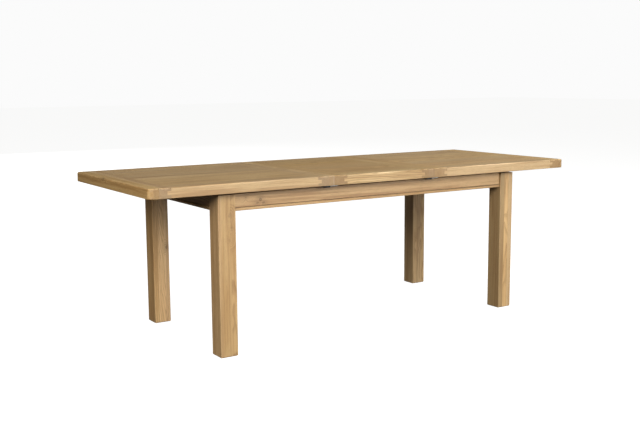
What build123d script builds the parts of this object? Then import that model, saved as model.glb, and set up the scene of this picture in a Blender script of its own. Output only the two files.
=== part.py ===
from build123d import *
from math import acos, cos, pi, radians, sin, tan
import os

# An extendable dining table, drawn pulled out to full length with its leaf in place.
# Millimetres. X runs along the table, -Y is the front, +Z is up, and the origin is on the
# floor under the middle. The right half top is the left one turned half a turn about Z.

os.makedirs("parts", exist_ok=True)

UP = (Align.CENTER, Align.CENTER, Align.MIN)

# Overall sizes
table_height = 780
table_width = 900
closed_length = 1800
leaf_length = 600
top_thickness = 45
seam_gap = 0.5

half_length = closed_length / 2
seam_x = leaf_length / 2
outer_x = seam_x + half_length
underside = table_height - top_thickness

# Top sections: cross rails grooved for the tongues of the lengthwise boards
end_rail_width = 100
seam_rail_width = 80
tongue_thickness = 16
tongue_length = 18
groove_spare = 0.2
board_count = 9
glue_line = 0.2
corner_radius = 20
arris_radius = 7
under_arris = 2
seam_arris = 1

# Legs
leg_size = 85
leg_x = 825
leg_y = 365
leg_foot = 2
leg_top = underside - 10
foot_chamfer = 3
glide_radius = 20
glide_height = 4

# Aprons and the bead along the foot of each
apron_thickness = 22
apron_setback = 11
apron_foot = 650
apron_top = leg_top
bead_height = 12
bead_depth = 10
bead_proud = 2
bead_round = 3
quirk_width = 3
quirk_depth = 3
tenon_length = 25
tenon_thickness = 12
tenon_low = 670
tenon_high = 715

# Cross rails, and the two guide bars that they carry
cross_rail_x = 560
cross_rail_width = 70
cross_rail_low = 652
cross_rail_high = 672
housing_depth = 8
guide_y = 270
guide_width = 30
guide_high = 726
groove_middle = 699
guide_groove_height = 9
guide_groove_depth = 8.5

# Runners under the half tops
runner_width = 24
runner_low = 675
runner_gap = 0.5
runner_start = -830
runner_end = 110
runner_relief = 0.6
relief_start = -310
runner_tongue_height = 8
runner_tongue_length = 8
runner_screw_x = (-790, -600, -420)
peg_radius = 5
stop_low = 655
stop_high = 700

# Rack and pinion
tooth_module = 2.5
tooth_count = 20
pressure_angle = radians(20)
backlash = 0.25
pinion_low = 701
pinion_high = 713
rack_low = 700
rack_high = 714
rack_start = -480
rack_end = 30
rack_back = 44
block_end = -330
block_inner = 30
block_outer = 70
block_screw_x = (-465, -400)
block_screw_y = -60
rack_screw_x = (-450, -345)
rack_screw_y = -36
keeper_half = 40
keeper_shelf = 699.5
keeper_top = 712
keeper_outer = 64
keeper_inner = 30
axle_radius = 6
collar_radius = 11
running_clearance = 0.05

# Leaf clips and pegs
clip_y = 420
prong_radius = 2.6
prong_spread = 9
prong_z = 730.2
prong_reach = 22
fork_low = 732.5
socket_low = 725.5
socket_bore = 3.2
leaf_peg_y = (-260, 0, 260)
leaf_peg_z = underside + top_thickness / 2
leaf_peg_out = 12
leaf_peg_in = 25

# Corner blocks and their bolts
block_low = 652
block_high = 671
bolt_radius = 4
bolt_z = (block_low + block_high) / 2
washer_radius = 8
washer_thickness = 2
nut_across_flats = 13
nut_height = 6.5


def slab(x_low, x_high, y_low, y_high, z_low, z_high, mode=Mode.ADD):
    """A rectangular block between six planes, added to or cut from the part being built."""
    with Locations(((x_low + x_high) / 2, (y_low + y_high) / 2, z_low)):
        Box(x_high - x_low, y_high - y_low, z_high - z_low, align=UP, mode=mode)


def drill(points, radius, z_low, z_high):
    """Cuts an upright hole at each point of the part being built."""
    with Locations(*[(x, y, z_low) for x, y in points]):
        Cylinder(radius, z_high - z_low, align=UP, mode=Mode.SUBTRACT)


def turned(piece):
    """The piece for the other half of the table: half a turn about Z."""
    with BuildPart() as other:
        add(piece.part, rotation=(0, 0, 180))
    return other


def mirrored(piece, plane):
    """The piece on the other side of a plane."""
    with BuildPart() as other:
        mirror(piece.part, about=plane)
    return other


def wood_screws(points, head_z, length, radius):
    """Countersunk screws driven upwards, one at each point, as a group."""
    with BuildPart() as group:
        with Locations(*[(x, y, head_z) for x, y in points]):
            Cone(2 * radius, radius, radius, align=UP)
            Cylinder(radius, length - radius, align=UP)
        with Locations(*[(x, y, head_z + length - radius) for x, y in points]):
            Cone(radius, radius / 4, radius, align=UP)
    return group


# ---- Top sections -------------------------------------------------------------------------


def blank(x_low, x_high, round_ends):
    """A top section before it is cut into boards: rounded arrises, corners at free ends."""
    with BuildPart() as section:
        with BuildSketch(Plane.XY.offset(underside)) as outline:
            with Locations(((x_low + x_high) / 2, 0)):
                Rectangle(x_high - x_low, table_width)
            if round_ends:
                fillet(outline.vertices().group_by(Axis.X)[0], corner_radius)
        extrude(amount=top_thickness)
        above = section.faces().sort_by(Axis.Z)[-1].edges().sort_by(Axis.X)
        below = section.faces().sort_by(Axis.Z)[0].edges().sort_by(Axis.X)
        if round_ends:
            fillet(above[:-1], arris_radius)
            fillet(below[:-1], under_arris)
        else:
            fillet(above.filter_by(Axis.X), arris_radius)
            fillet(below.filter_by(Axis.X), under_arris)
        across = section.faces().sort_by(Axis.Z)[-1].edges().filter_by(Axis.Y)
        chamfer([edge for edge in across if abs(edge.center().X) < seam_x + 1], seam_arris)
    return section


def cross_rail(section, x_low, x_high, groove_side, clip_screws=(), pegs=None):
    """A cross rail cut from a blank, grooved along one side for the boards' tongues."""
    middle = underside + top_thickness / 2
    with BuildPart() as rail:
        add(section.part)
        slab(x_low, x_high, -table_width, table_width, 0, 2 * table_height, Mode.INTERSECT)
        groove = x_low if groove_side < 0 else x_high - tongue_length
        slab(
            groove,
            groove + tongue_length,
            -table_width,
            table_width,
            middle - tongue_thickness / 2,
            middle + tongue_thickness / 2,
            Mode.SUBTRACT,
        )
        if clip_screws:
            drill(clip_screws, clip_screw_radius + running_clearance, underside - 1, clip_pilot_top)
        if pegs:
            start, length, radius = pegs
            with Locations(*[Location((start, y, leaf_peg_z), (0, 90, 0)) for y in leaf_peg_y]):
                Cylinder(radius, length, align=UP, mode=Mode.SUBTRACT)
    return rail


def board_panel(section, x_low, x_high, screws=()):
    """The lengthwise boards of a section, tongued at both ends, as a group of solids."""
    middle = underside + top_thickness / 2
    reach = tongue_length - groove_spare
    with BuildPart() as panel:
        add(section.part)
        with BuildSketch(Plane.XZ.offset(-table_width)):
            with BuildLine():
                Polyline(
                    (x_low, underside),
                    (x_high, underside),
                    (x_high, middle - tongue_thickness / 2),
                    (x_high + reach, middle - tongue_thickness / 2),
                    (x_high + reach, middle + tongue_thickness / 2),
                    (x_high, middle + tongue_thickness / 2),
                    (x_high, table_height),
                    (x_low, table_height),
                    (x_low, middle + tongue_thickness / 2),
                    (x_low - reach, middle + tongue_thickness / 2),
                    (x_low - reach, middle - tongue_thickness / 2),
                    (x_low, middle - tongue_thickness / 2),
                    close=True,
                )
            make_face()
        extrude(amount=2 * table_width, mode=Mode.INTERSECT)
        board_width = table_width / board_count
        for board in range(1, board_count):
            line = board * board_width - table_width / 2
            slab(
                x_low - tongue_length,
                x_high + tongue_length,
                line - glue_line / 2,
                line + glue_line / 2,
                underside,
                table_height,
                Mode.SUBTRACT,
            )
        for points, radius, pilot_top in screws:
            drill(points, radius + running_clearance, underside - 1, pilot_top)
    return panel


clip_screw_radius = 1.75
clip_screw_length = 16
clip_pilot_top = underside + 14
fork_screw_d = (10, 30)
socket_screw_d = (13, 29)


def clip_points(distances, seam, side, y):
    """Points at the given distances from a seam, on one side of it."""
    return [(seam + side * distance, y) for distance in distances]


runner_inner_y = guide_y - guide_width / 2 - runner_gap - runner_width / 2
runner_outer_y = guide_y + guide_width / 2 + runner_gap + runner_width / 2
runner_screw_radius = 2.5
runner_screw_top = 757
rack_screw_radius = 2
rack_screw_length = 30

left_inner_x = -seam_x - seam_gap / 2
leaf_edge_x = seam_x - seam_gap / 2
runner_screw_points = [(x, y) for x in runner_screw_x for y in (-runner_inner_y, runner_outer_y)]
block_screw_points = [(x, block_screw_y) for x in block_screw_x]

half_blank = blank(-outer_x, left_inner_x, True)
end_rail_x = -outer_x + end_rail_width
seam_rail_x = left_inner_x - seam_rail_width

left_end_rail = cross_rail(half_blank, -outer_x, end_rail_x, 1)
left_seam_rail = cross_rail(
    half_blank,
    seam_rail_x,
    left_inner_x,
    -1,
    clip_points(socket_screw_d, -seam_x, -1, -clip_y) + clip_points(fork_screw_d, -seam_x, -1, clip_y),
    (left_inner_x - leaf_peg_out - 2, leaf_peg_out + 3, peg_radius + 0.5),
)
left_boards = board_panel(
    half_blank,
    end_rail_x,
    seam_rail_x,
    (
        (runner_screw_points, runner_screw_radius, runner_screw_top + 1),
        (block_screw_points, rack_screw_radius, rack_high + rack_screw_length + 1),
    ),
)

leaf_blank = blank(-leaf_edge_x, leaf_edge_x, False)
leaf_rail_x = leaf_edge_x - seam_rail_width
leaf_left_rail = cross_rail(
    leaf_blank,
    -leaf_edge_x,
    -leaf_rail_x,
    1,
    clip_points(fork_screw_d, -seam_x, 1, -clip_y) + clip_points(socket_screw_d, -seam_x, 1, clip_y),
    (-leaf_edge_x - 1, leaf_peg_in + 1, peg_radius + running_clearance),
)
leaf_right_rail = turned(leaf_left_rail)
leaf_boards = board_panel(leaf_blank, -leaf_rail_x, leaf_rail_x)

with BuildPart() as leaf_pegs:
    for side in (-1, 1):
        start = -leaf_edge_x - leaf_peg_out if side < 0 else leaf_edge_x - leaf_peg_in
        with Locations(*[Location((start, y, leaf_peg_z), (0, 90, 0)) for y in leaf_peg_y]):
            Cylinder(peg_radius, leaf_peg_in + leaf_peg_out, align=UP)


# ---- Underframe ---------------------------------------------------------------------------

leg_inner_x, leg_outer_x = leg_x - leg_size / 2, leg_x + leg_size / 2
leg_inner_y, leg_outer_y = leg_y - leg_size / 2, leg_y + leg_size / 2
apron_face_x, apron_face_y = leg_outer_x - apron_setback, leg_outer_y - apron_setback
apron_back_x, apron_back_y = apron_face_x - apron_thickness, apron_face_y - apron_thickness

# The corner bolts point at the middle of the legs, square to the blocks' long faces.
block_side = 100
block_clear = 1
block_face = Vector(
    (leg_inner_x - block_side + apron_back_x) / 2, (leg_inner_y - block_side + apron_back_y) / 2
)
bolt_line = Vector(1, 1, 0).normalized()
bolt_back = 18
bolt_in_leg = 40
bolt_hole_spare = 0.5


def bolt_plane(distance):
    """A plane across the corner bolt, a distance along it from the block's long face."""
    origin = block_face + bolt_line * distance
    return Plane(origin=(origin.X, origin.Y, bolt_z), x_dir=(0, 0, 1), z_dir=bolt_line)


face_to_corner = (Vector(leg_inner_x, leg_inner_y) - block_face).length

with BuildPart() as leg_back_right:
    slab(leg_inner_x, leg_outer_x, leg_inner_y, leg_outer_y, leg_foot, leg_top)
    chamfer(leg_back_right.faces().sort_by(Axis.Z)[0].edges(), foot_chamfer)
    # mortises for the two apron tenons
    tenon_middle_x = apron_face_x - apron_thickness / 2
    tenon_middle_y = apron_face_y - apron_thickness / 2
    half_tenon = tenon_thickness / 2
    slab(
        leg_inner_x,
        leg_inner_x + tenon_length,
        tenon_middle_y - half_tenon,
        tenon_middle_y + half_tenon,
        tenon_low,
        tenon_high,
        Mode.SUBTRACT,
    )
    slab(
        tenon_middle_x - half_tenon,
        tenon_middle_x + half_tenon,
        leg_inner_y,
        leg_inner_y + tenon_length,
        tenon_low,
        tenon_high,
        Mode.SUBTRACT,
    )
    drill([(leg_x, leg_y)], glide_radius + running_clearance, leg_foot - 1, glide_height)
    with BuildSketch(bolt_plane(face_to_corner - 5)):
        Circle(bolt_radius + running_clearance)
    extrude(amount=bolt_in_leg + 6, mode=Mode.SUBTRACT)

leg_front_right = mirrored(leg_back_right, Plane.XZ)
leg_back_left = mirrored(leg_back_right, Plane.YZ)
leg_front_left = turned(leg_back_right)

with BuildPart() as glides:
    with Locations(*[(x, y, 0) for x in (-leg_x, leg_x) for y in (-leg_y, leg_y)]):
        Cylinder(glide_radius, glide_height, align=UP)
    chamfer(glides.faces().group_by(Axis.Z)[0].edges(), 1)


def apron_profile(face, back):
    """Section of an apron, rebated for its bead with a quirk above it."""
    Polyline(
        (back, apron_foot),
        (face - bead_depth + bead_proud, apron_foot),
        (face - bead_depth + bead_proud, apron_foot + bead_height),
        (face - quirk_depth, apron_foot + bead_height),
        (face - quirk_depth, apron_foot + bead_height + quirk_width),
        (face, apron_foot + bead_height + quirk_width),
        (face, apron_top),
        (back, apron_top),
        close=True,
    )


def bead_profile(face):
    """Section of a bead, its outer corners rounded."""
    low, high, outer = apron_foot, apron_foot + bead_height, face + bead_proud
    Polyline((outer - bead_round, high), (outer - bead_depth, high), (outer - bead_depth, low))
    Line((outer - bead_depth, low), (outer - bead_round, low))
    JernArc((outer - bead_round, low), (1, 0), bead_round, 90)
    Line((outer, low + bead_round), (outer, high - bead_round))
    JernArc((outer, high - bead_round), (0, 1), bead_round, 90)


# The back apron is drawn on the YZ plane and runs between the legs along X.
with BuildPart() as apron_back:
    with BuildSketch(Plane.YZ.offset(-leg_inner_x)):
        with BuildLine():
            apron_profile(apron_face_y, apron_back_y)
        make_face()
    extrude(amount=2 * leg_inner_x)
    slab(
        -leg_inner_x - tenon_length,
        leg_inner_x + tenon_length,
        tenon_middle_y - half_tenon,
        tenon_middle_y + half_tenon,
        tenon_low,
        tenon_high,
    )
    # housings for the ends of the cross rails
    for x in (-cross_rail_x, 0, cross_rail_x):
        slab(
            x - cross_rail_width / 2,
            x + cross_rail_width / 2,
            apron_back_y,
            apron_back_y + housing_depth,
            cross_rail_low,
            cross_rail_high,
            Mode.SUBTRACT,
        )

# The right end apron is drawn on the XZ plane, which faces -Y, and runs along Y.
with BuildPart() as apron_right:
    with BuildSketch(Plane.XZ.offset(-leg_inner_y)):
        with BuildLine():
            apron_profile(apron_face_x, apron_back_x)
        make_face()
    extrude(amount=2 * leg_inner_y)
    slab(
        tenon_middle_x - half_tenon,
        tenon_middle_x + half_tenon,
        -leg_inner_y - tenon_length,
        leg_inner_y + tenon_length,
        tenon_low,
        tenon_high,
    )

with BuildPart() as bead_back:
    with BuildSketch(Plane.YZ.offset(-leg_inner_x)):
        with BuildLine():
            bead_profile(apron_face_y)
        make_face()
    extrude(amount=2 * leg_inner_x)

with BuildPart() as bead_right:
    with BuildSketch(Plane.XZ.offset(-leg_inner_y)):
        with BuildLine():
            bead_profile(apron_face_x)
        make_face()
    extrude(amount=2 * leg_inner_y)

apron_front = mirrored(apron_back, Plane.XZ)
apron_left = mirrored(apron_right, Plane.YZ)
bead_front = mirrored(bead_back, Plane.XZ)
bead_left = mirrored(bead_right, Plane.YZ)

# Screws driven up through the cross rails into the guide bars and rack keepers
frame_screw_radius = 2.2
frame_screw_length = 36
frame_screw_head_z = cross_rail_low + 3
guide_screw_points = [
    (x, y) for x in (-cross_rail_x, 0, cross_rail_x) for y in (-guide_y, guide_y)
]
keeper_screw_y = (keeper_outer + rack_back) / 2
keeper_screw_points = [
    (x, y) for x in (-keeper_half / 2, keeper_half / 2) for y in (-keeper_screw_y, keeper_screw_y)
]
screw_top = frame_screw_head_z + frame_screw_length + 1

# Guide bars, grooved on both faces, between the end aprons
with BuildPart() as guide_bar_back:
    slab(
        -apron_back_x,
        apron_back_x,
        guide_y - guide_width / 2,
        guide_y + guide_width / 2,
        cross_rail_high,
        guide_high,
    )
    for face, inward in ((guide_y - guide_width / 2, 1), (guide_y + guide_width / 2, -1)):
        bottom = face + inward * guide_groove_depth
        slab(
            -apron_back_x,
            apron_back_x,
            min(face, bottom),
            max(face, bottom),
            groove_middle - guide_groove_height / 2,
            groove_middle + guide_groove_height / 2,
            Mode.SUBTRACT,
        )
    drill(
        [point for point in guide_screw_points if point[1] > 0],
        frame_screw_radius + running_clearance,
        cross_rail_high - 1,
        screw_top,
    )

guide_bar_front = mirrored(guide_bar_back, Plane.XZ)

cross_rail_end_y = apron_back_y + housing_depth


def underframe_rail(x, screws):
    """A cross rail of the underframe, drilled from below for screws and their heads."""
    with BuildPart() as rail:
        slab(
            x - cross_rail_width / 2,
            x + cross_rail_width / 2,
            -cross_rail_end_y,
            cross_rail_end_y,
            cross_rail_low,
            cross_rail_high,
        )
        head_radius = 2 * frame_screw_radius + 0.3
        drill(screws, head_radius, cross_rail_low - 1, frame_screw_head_z + frame_screw_radius)
        drill(screws, frame_screw_radius + running_clearance, cross_rail_low, cross_rail_high)
        if x == 0:
            drill([(0, 0)], axle_radius + running_clearance, cross_rail_low + 4, cross_rail_high)
    return rail


cross_rail_left = underframe_rail(
    -cross_rail_x, [point for point in guide_screw_points if point[0] < 0]
)
cross_rail_centre = underframe_rail(
    0, [point for point in guide_screw_points if point[0] == 0] + keeper_screw_points
)
cross_rail_right = turned(cross_rail_left)

frame_screws = wood_screws(
    guide_screw_points + keeper_screw_points,
    frame_screw_head_z,
    frame_screw_length,
    frame_screw_radius,
)

with BuildPart() as corner_blocks:
    with BuildSketch(Plane.XY.offset(block_low)):
        with BuildLine():
            Polyline(
                (leg_inner_x - block_side, apron_back_y),
                (leg_inner_x - block_clear, apron_back_y),
                (leg_inner_x - block_clear, leg_inner_y - block_clear),
                (apron_back_x, leg_inner_y - block_clear),
                (apron_back_x, leg_inner_y - block_side),
                close=True,
            )
        make_face()
    extrude(amount=block_high - block_low)
    with BuildSketch(bolt_plane(-1)):
        Circle(bolt_radius + bolt_hole_spare)
    extrude(amount=face_to_corner + 5, mode=Mode.SUBTRACT)
    mirror(about=Plane.XZ)
    mirror(about=Plane.YZ)

with BuildPart() as corner_bolts:
    with BuildSketch(bolt_plane(-bolt_back)):
        Circle(bolt_radius)
    extrude(amount=bolt_back + face_to_corner + bolt_in_leg)
    mirror(about=Plane.XZ)
    mirror(about=Plane.YZ)

with BuildPart() as corner_washers:
    with BuildSketch(bolt_plane(-washer_thickness)):
        Circle(washer_radius)
        Circle(bolt_radius + bolt_hole_spare, mode=Mode.SUBTRACT)
    extrude(amount=washer_thickness)
    mirror(about=Plane.XZ)
    mirror(about=Plane.YZ)

with BuildPart() as corner_nuts:
    with BuildSketch(bolt_plane(-washer_thickness - nut_height)):
        RegularPolygon(nut_across_flats / 2, 6, major_radius=False)
        Circle(bolt_radius + running_clearance, mode=Mode.SUBTRACT)
    extrude(amount=nut_height)
    mirror(about=Plane.XZ)
    mirror(about=Plane.YZ)


# ---- Runners ------------------------------------------------------------------------------


def runner(y):
    """A runner of the left half top, its tongue pointing at the guide bar on its -Y side."""
    tongue_face = y - runner_width / 2
    points = [(x, y) for x in runner_screw_x]
    with BuildPart() as bar:
        slab(runner_start, runner_end, y - runner_width / 2, y + runner_width / 2, runner_low, underside)
        slab(
            runner_start,
            runner_end,
            tongue_face - runner_tongue_length,
            tongue_face,
            groove_middle - runner_tongue_height / 2,
            groove_middle + runner_tongue_height / 2,
        )
        # under the leaf and the other half top it stands a little lower
        slab(
            relief_start,
            runner_end,
            y - runner_width,
            y + runner_width,
            underside - runner_relief,
            underside,
            Mode.SUBTRACT,
        )
        drill(points, runner_screw_radius + running_clearance, runner_low, underside)
        drill(points, 2 * runner_screw_radius + 1, runner_low, runner_head_z + runner_screw_radius)
        drill([(stop_x, y)], peg_radius + running_clearance, runner_low - 1, stop_high)
    return bar


runner_head_z = runner_low + 30
stop_x = cross_rail_width / 2 + peg_radius + 0.5
left_runner_front = runner(-runner_inner_y)
left_runner_back = runner(runner_outer_y)
left_runner_screws = wood_screws(
    runner_screw_points, runner_head_z, runner_screw_top - runner_head_z, runner_screw_radius
)

with BuildPart() as left_stop_pegs:
    with Locations(*[(stop_x, y, stop_low) for y in (-runner_inner_y, runner_outer_y)]):
        Cylinder(peg_radius, stop_high - stop_low, align=UP)


# ---- Rack and pinion ----------------------------------------------------------------------

pitch_radius = tooth_module * tooth_count / 2
tooth_pitch = pi * tooth_module
addendum = tooth_module
dedendum = 1.25 * tooth_module
tip_radius = pitch_radius + addendum
root_radius = pitch_radius - dedendum
base_radius = pitch_radius * cos(pressure_angle)


def involute(angle):
    """How far an involute has turned from its start, at a pressure angle."""
    return tan(angle) - angle


def flank_angle(radius):
    """Half the angle that a pinion tooth fills at a radius."""
    half_at_pitch = (tooth_pitch / 2 - backlash) / 2 / pitch_radius
    at_radius = acos(min(1, base_radius / radius))
    return half_at_pitch + involute(pressure_angle) - involute(at_radius)


def polar(radius, angle):
    """A point at a radius and an angle about the pinion's axis."""
    return radius * cos(angle), radius * sin(angle)


with BuildPart() as pinion:
    with BuildSketch(Plane.XY.offset(pinion_low)):
        Circle(root_radius)
        for tooth in range(tooth_count):
            middle = 2 * pi * tooth / tooth_count
            mid_radius = (base_radius + tip_radius) / 2
            half_base, half_mid, half_tip = map(flank_angle, (base_radius, mid_radius, tip_radius))
            hub = root_radius - 1
            with BuildLine():
                Line(polar(hub, middle - half_base), polar(base_radius, middle - half_base))
                ThreePointArc(
                    polar(base_radius, middle - half_base),
                    polar(mid_radius, middle - half_mid),
                    polar(tip_radius, middle - half_tip),
                )
                Line(polar(tip_radius, middle - half_tip), polar(tip_radius, middle + half_tip))
                ThreePointArc(
                    polar(tip_radius, middle + half_tip),
                    polar(mid_radius, middle + half_mid),
                    polar(base_radius, middle + half_base),
                )
                Line(polar(base_radius, middle + half_base), polar(hub, middle + half_base))
                Line(polar(hub, middle + half_base), polar(hub, middle - half_base))
            make_face()
        Circle(axle_radius + running_clearance, mode=Mode.SUBTRACT)
    extrude(amount=pinion_high - pinion_low)

with BuildPart() as left_rack:
    with BuildSketch(Plane.XY.offset(rack_low)):
        with Locations(((rack_start + rack_end) / 2, -(rack_back + pitch_radius - addendum) / 2)):
            Rectangle(rack_end - rack_start, rack_back - pitch_radius + addendum)
        # the spaces between the teeth, one of them at X = 0 to take a pinion tooth
        first, last = round((rack_start + 140) / tooth_pitch), int(rack_end / tooth_pitch)
        half_pitch_space = (tooth_pitch / 2 + backlash) / 2
        half_mouth = half_pitch_space + addendum * tan(pressure_angle)
        half_floor = half_pitch_space - dedendum * tan(pressure_angle)
        mouth, floor = -pitch_radius + addendum, -pitch_radius - dedendum
        for space in range(first, last + 1):
            x = space * tooth_pitch
            with BuildLine():
                Polyline(
                    (x - half_mouth, mouth + 0.01),
                    (x - half_floor, floor),
                    (x + half_floor, floor),
                    (x + half_mouth, mouth + 0.01),
                    close=True,
                )
            make_face(mode=Mode.SUBTRACT)
    extrude(amount=rack_high - rack_low)
    rack_points = [(x, rack_screw_y) for x in rack_screw_x]
    drill(rack_points, rack_screw_radius + running_clearance, rack_low, rack_high)
    with Locations(*[(x, y, rack_low) for x, y in rack_points]):
        Cone(
            2 * rack_screw_radius + running_clearance,
            rack_screw_radius + running_clearance,
            rack_screw_radius,
            align=UP,
            mode=Mode.SUBTRACT,
        )

with BuildPart() as left_rack_block:
    slab(rack_start, block_end, -block_outer, -block_inner, rack_high, underside)
    rack_screw_top = rack_low + rack_screw_length + 1
    drill(rack_points, rack_screw_radius + running_clearance, rack_high - 1, rack_screw_top)
    drill(block_screw_points, rack_screw_radius + running_clearance, rack_high, underside)
    with Locations(*[(x, y, rack_high) for x, y in block_screw_points]):
        Cone(
            2 * rack_screw_radius + running_clearance,
            rack_screw_radius + running_clearance,
            rack_screw_radius,
            align=UP,
            mode=Mode.SUBTRACT,
        )

with BuildPart() as left_rack_screws:
    for points, head_z in ((rack_points, rack_low), (block_screw_points, rack_high)):
        add(wood_screws(points, head_z, rack_screw_length, rack_screw_radius).part)

# The keepers hold the racks up and press them to the pinion.
with BuildPart() as rack_keepers:
    slab(-keeper_half, keeper_half, -keeper_outer, -keeper_inner, cross_rail_high, keeper_shelf)
    slab(
        -keeper_half,
        keeper_half,
        -keeper_outer,
        -rack_back - runner_gap,
        keeper_shelf,
        keeper_top,
    )
    drill(
        [point for point in keeper_screw_points if point[1] < 0],
        frame_screw_radius + running_clearance,
        cross_rail_high - 1,
        screw_top,
    )
    mirror(about=Plane.XZ)

ring_groove_low = pinion_high + 1.2
ring_thickness = 1.2
ring_inner = axle_radius - 1
ring_outer = axle_radius + 3
axle_top = ring_groove_low + ring_thickness + 2.5

with BuildPart() as pinion_axle:
    with Locations((0, 0, cross_rail_low + 4)):
        Cylinder(axle_radius, axle_top - cross_rail_low - 4, align=UP)
    with Locations((0, 0, cross_rail_high)):
        Cylinder(collar_radius, pinion_low - 0.3 - cross_rail_high, align=UP)
    with BuildSketch(Plane.XY.offset(ring_groove_low - 0.1)):
        Circle(axle_radius + 1)
        Circle(ring_inner - 0.1, mode=Mode.SUBTRACT)
    extrude(amount=ring_thickness + 0.2, mode=Mode.SUBTRACT)
    chamfer(pinion_axle.faces().sort_by(Axis.Z)[-1].edges(), 1)

with BuildPart() as axle_ring:
    with BuildSketch(Plane.XY.offset(ring_groove_low)):
        Circle(ring_outer)
        Circle(ring_inner, mode=Mode.SUBTRACT)
        with Locations((ring_outer, 0)):
            Rectangle(2 * ring_outer, ring_inner, mode=Mode.SUBTRACT)
    extrude(amount=ring_thickness)


# ---- Leaf clips ---------------------------------------------------------------------------


def fork(seam, side, y):
    """A steel fork on one side of a seam, its two prongs reaching across it."""
    near, far = sorted((seam + side * 2, seam + side * 38))
    tip, root = seam - side * prong_reach, seam + side * 34
    with BuildPart() as steel:
        slab(near, far, y - 18, y + 18, fork_low, underside)
        for offset in (-prong_spread, prong_spread):
            with Locations(Location((min(tip, root), y + offset, prong_z), (0, 90, 0))):
                Cylinder(prong_radius, abs(tip - root), align=UP)
        points = clip_points(fork_screw_d, seam, side, y)
        drill(points, clip_screw_radius + running_clearance, fork_low - 1, underside + 1)
        drill(points, 2 * clip_screw_radius + 0.2, fork_low - 1, fork_low + clip_screw_radius)
    return steel


def socket(seam, side, y):
    """A dark socket plate on one side of a seam, bored for the prongs of the fork."""
    near, far = sorted((seam + side * 6, seam + side * 36))
    mouth, end = seam + side * 5, seam + side * (prong_reach + 8)
    with BuildPart() as plate:
        slab(near, far, y - 16, y + 16, socket_low, underside)
        chamfer(plate.faces().sort_by(Axis.Z)[0].edges(), 1.5)
        for offset in (-prong_spread, prong_spread):
            with Locations(Location((min(mouth, end), y + offset, prong_z), (0, 90, 0))):
                Cylinder(socket_bore, abs(mouth - end), align=UP, mode=Mode.SUBTRACT)
        points = clip_points(socket_screw_d, seam, side, y)
        drill(points, clip_screw_radius + running_clearance, socket_low - 1, underside + 1)
        head_top = underside - clip_head_cover + clip_screw_radius
        drill(points, 2 * clip_screw_radius + 0.2, socket_low - 1, head_top)
    return plate


clip_head_cover = underside - fork_low
left_socket = socket(-seam_x, -1, -clip_y)
left_fork = fork(-seam_x, -1, clip_y)
leaf_fork_front = fork(-seam_x, 1, -clip_y)
leaf_socket_back = socket(-seam_x, 1, clip_y)

with BuildPart() as leaf_forks:
    add(leaf_fork_front.part)
    add(leaf_fork_front.part, rotation=(0, 0, 180))

with BuildPart() as leaf_sockets:
    add(leaf_socket_back.part)
    add(leaf_socket_back.part, rotation=(0, 0, 180))

left_clip_points = clip_points(socket_screw_d, -seam_x, -1, -clip_y)
left_clip_points += clip_points(fork_screw_d, -seam_x, -1, clip_y)
leaf_clip_points = clip_points(fork_screw_d, -seam_x, 1, -clip_y)
leaf_clip_points += clip_points(socket_screw_d, -seam_x, 1, clip_y)
left_clip_screws = wood_screws(left_clip_points, fork_low, clip_screw_length, clip_screw_radius)
leaf_clip_screws_half = wood_screws(
    leaf_clip_points, fork_low, clip_screw_length, clip_screw_radius
)
with BuildPart() as leaf_clip_screws:
    add(leaf_clip_screws_half.part)
    add(leaf_clip_screws_half.part, rotation=(0, 0, 180))


# ---- Write every piece --------------------------------------------------------------------

left_pieces = {
    "end_rail": left_end_rail,
    "seam_rail": left_seam_rail,
    "boards": left_boards,
    "runner_front": left_runner_front,
    "runner_back": left_runner_back,
    "runner_screws": left_runner_screws,
    "stop_pegs": left_stop_pegs,
    "rack": left_rack,
    "rack_block": left_rack_block,
    "rack_screws": left_rack_screws,
    "socket": left_socket,
    "fork": left_fork,
    "clip_screws": left_clip_screws,
}
# Turning half a turn swaps front and back.
other_end = {"runner_front": "runner_back", "runner_back": "runner_front"}

pieces = {
    "leg_front_left": leg_front_left,
    "leg_front_right": leg_front_right,
    "leg_back_left": leg_back_left,
    "leg_back_right": leg_back_right,
    "glides": glides,
    "apron_front": apron_front,
    "apron_back": apron_back,
    "apron_left": apron_left,
    "apron_right": apron_right,
    "bead_front": bead_front,
    "bead_back": bead_back,
    "bead_left": bead_left,
    "bead_right": bead_right,
    "guide_bar_front": guide_bar_front,
    "guide_bar_back": guide_bar_back,
    "cross_rail_left": cross_rail_left,
    "cross_rail_centre": cross_rail_centre,
    "cross_rail_right": cross_rail_right,
    "frame_screws": frame_screws,
    "corner_blocks": corner_blocks,
    "corner_bolts": corner_bolts,
    "corner_washers": corner_washers,
    "corner_nuts": corner_nuts,
    "rack_keepers": rack_keepers,
    "pinion_axle": pinion_axle,
    "axle_ring": axle_ring,
    "pinion": pinion,
    "leaf_left_rail": leaf_left_rail,
    "leaf_right_rail": leaf_right_rail,
    "leaf_boards": leaf_boards,
    "leaf_pegs": leaf_pegs,
    "leaf_forks": leaf_forks,
    "leaf_sockets": leaf_sockets,
    "leaf_clip_screws": leaf_clip_screws,
}
for name, piece in left_pieces.items():
    pieces["left_" + name] = piece
    pieces["right_" + other_end.get(name, name)] = turned(piece)

for name, piece in pieces.items():
    piece.part.label = name
    export_step(piece.part, f"parts/{name}.step")
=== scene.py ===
"""An extendable oak dining table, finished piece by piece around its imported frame.

Everything is in metres, in the frame's own axes: X along the table, -Y the front, Z up.
"""

import logging
import math
import random
from dataclasses import dataclass
from enum import Enum
from typing import Sequence

import bmesh
import bpy
from mathutils import Matrix, Vector


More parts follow.
